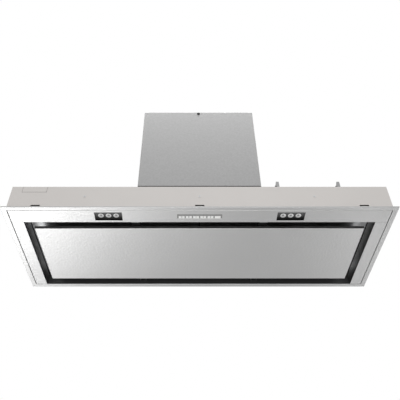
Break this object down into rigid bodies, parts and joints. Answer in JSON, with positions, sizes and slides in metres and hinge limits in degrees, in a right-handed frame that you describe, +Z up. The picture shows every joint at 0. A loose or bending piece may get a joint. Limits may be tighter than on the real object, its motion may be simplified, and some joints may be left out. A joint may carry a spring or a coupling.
{
  "type": "built-in cooker hood",
  "caption": "Built-in canopy cooker hood with a hinged perimeter-suction panel, grease filters, lamps, keys, a blower in a motor box and a round duct collar.",
  "frame": {"origin": "centre of the trim frame's underside", "axes": "+X to the cook's right, +Y to the back, +Z up; the cook stands at -Y"},
  "size_m": [0.898, 0.3, 0.437],
  "materials": {
    "stainless": "fine brushed grain, satin",
    "canopy_paint": "smooth warm grey powder coat",
    "galvanised": "matt galvanised sheet",
    "black_enamel": "gloss black",
    "filter_aluminium": "satin",
    "latch_plastic": "fine grain",
    "black_plastic": "semi gloss",
    "lens_plastic": "clear white optics",
    "board": "solder mask",
    "bezel_silver": "silver paint",
    "key_white": "satin white",
    "blower_plastic": "moulded grey",
    "rubber_black": "matt",
    "zinc_steel": "zinc plated",
    "motor_steel": "dark coated",
    "capacitor_white": "plain",
    "duct_plastic": "moulded, fine grain",
    "spring_steel": "bright spring steel"
  },
  "bodies": {
    "hood": {"trim_frame": "stainless", "front_fascia": "stainless", "side_fascias": "stainless", "canopy_shell": "canopy_paint", "cover_plate": "canopy_paint", "front_rivets": "zinc_steel", "inner_pan": "black_enamel", "filter_frame_left": "filter_aluminium", "filter_frame_right": "filter_aluminium", "filter_meshes": "filter_aluminium", "hinge_brackets": "black_enamel", "hinge_pins": "zinc_steel", "catches": "black_plastic", "lamp_housings": "black_plastic", "lamp_lenses": "lens_plastic", "lamp_boards": "board", "key_bezel": "bezel_silver", "signal_window": "key_white", "key_board": "board", "key_housing": "blower_plastic", "motor_box_shell": "galvanised", "motor_box_rear": "galvanised", "motor_box_top": "galvanised", "motor_box_seal": "rubber_black", "cable_grommet": "rubber_black", "scroll_left": "blower_plastic", "scroll_right": "blower_plastic", "outlet_adapter": "blower_plastic", "inlet_rings": "blower_plastic", "motor_can": "motor_steel", "motor_spider": "galvanised", "capacitor": "capacitor_white", "duct_collar": "duct_plastic", "flap_rod": "zinc_steel", "electronics_box": "blower_plastic", "electronics_lid": "blower_plastic", "electronics_board": "board", "cable_gland": "duct_plastic", "lead_hooks": "galvanised", "sheet_screws": "zinc_steel", "clip_feet": "spring_steel"},
    "suction_panel": {"perimeter_panel": "stainless", "panel_backer": "black_enamel", "panel_hinge_arms": "galvanised", "panel_strikers": "zinc_steel"},
    "latch_left": {"filter_latch_left": "latch_plastic"},
    "latch_right": {"filter_latch_right": "latch_plastic"},
    "lamp_key": {"key_lamp": "key_white"},
    "off_key": {"key_off": "key_white"},
    "speed_1_key": {"key_speed_1": "key_white"},
    "speed_2_key": {"key_speed_2": "key_white"},
    "speed_3_key": {"key_speed_3": "key_white"},
    "fan": {"fan_wheel": "blower_plastic", "motor_shaft": "zinc_steel"},
    "front_flap": {"flap_front": "duct_plastic"},
    "rear_flap": {"flap_rear": "duct_plastic"},
    "left_front_clip": {"clip_left_front": "spring_steel"},
    "left_rear_clip": {"clip_left_rear": "spring_steel"},
    "right_front_clip": {"clip_right_front": "spring_steel"},
    "right_rear_clip": {"clip_right_rear": "spring_steel"}
  },
  "joints": [
    {"name": "panel_hinge", "type": "hinge", "parent": "hood", "child": "suction_panel", "pos_m": [0, 0.1194, 0.013], "axis": [1, 0, 0], "range_deg": [0, 85]},
    {"name": "latch_left_slide", "type": "slide", "parent": "hood", "child": "latch_left", "axis": [0, 1, 0], "range_m": [0, 0.006], "stiffness_N_per_m": 300, "springref_m": -0.004},
    {"name": "latch_right_slide", "type": "slide", "parent": "hood", "child": "latch_right", "axis": [0, 1, 0], "range_m": [0, 0.006], "stiffness_N_per_m": 300, "springref_m": -0.004},
    {"name": "lamp_key_press", "type": "slide", "parent": "hood", "child": "lamp_key", "axis": [0, 0, 1], "range_m": [0, 0.0008], "stiffness_N_per_m": 1200, "springref_m": -0.0004},
    {"name": "off_key_press", "type": "slide", "parent": "hood", "child": "off_key", "axis": [0, 0, 1], "range_m": [0, 0.0008], "stiffness_N_per_m": 1200, "springref_m": -0.0004},
    {"name": "speed_1_key_press", "type": "slide", "parent": "hood", "child": "speed_1_key", "axis": [0, 0, 1], "range_m": [0, 0.0008], "stiffness_N_per_m": 1200, "springref_m": -0.0004},
    {"name": "speed_2_key_press", "type": "slide", "parent": "hood", "child": "speed_2_key", "axis": [0, 0, 1], "range_m": [0, 0.0008], "stiffness_N_per_m": 1200, "springref_m": -0.0004},
    {"name": "speed_3_key_press", "type": "slide", "parent": "hood", "child": "speed_3_key", "axis": [0, 0, 1], "range_m": [0, 0.0008], "stiffness_N_per_m": 1200, "springref_m": -0.0004},
    {"name": "fan_spin", "type": "hinge", "parent": "hood", "child": "fan", "pos_m": [0, -0.033, 0.21], "axis": [1, 0, 0], "continuous": true},
    {"name": "front_flap_hinge", "type": "hinge", "parent": "hood", "child": "front_flap", "pos_m": [0, 0.04, 0.385], "axis": [-1, 0, 0], "range_deg": [0, 75]},
    {"name": "rear_flap_hinge", "type": "hinge", "parent": "hood", "child": "rear_flap", "pos_m": [0, 0.04, 0.385], "axis": [1, 0, 0], "range_deg": [0, 75]},
    {"name": "left_front_clip_flex", "type": "hinge", "parent": "hood", "child": "left_front_clip", "pos_m": [-0.4406, -0.06, 0.06], "axis": [0, -1, 0], "range_deg": [0, 8], "stiffness_Nm_per_rad": 1.5, "springref_deg": -1.15},
    {"name": "left_rear_clip_flex", "type": "hinge", "parent": "hood", "child": "left_rear_clip", "pos_m": [-0.4406, 0.06, 0.06], "axis": [0, -1, 0], "range_deg": [0, 8], "stiffness_Nm_per_rad": 1.5, "springref_deg": -1.15},
    {"name": "right_front_clip_flex", "type": "hinge", "parent": "hood", "child": "right_front_clip", "pos_m": [0.4406, -0.06, 0.06], "axis": [0, 1, 0], "range_deg": [0, 8], "stiffness_Nm_per_rad": 1.5, "springref_deg": -1.15},
    {"name": "right_rear_clip_flex", "type": "hinge", "parent": "hood", "child": "right_rear_clip", "pos_m": [0.4406, 0.06, 0.06], "axis": [0, 1, 0], "range_deg": [0, 8], "stiffness_Nm_per_rad": 1.5, "springref_deg": -1.15}
  ]
}
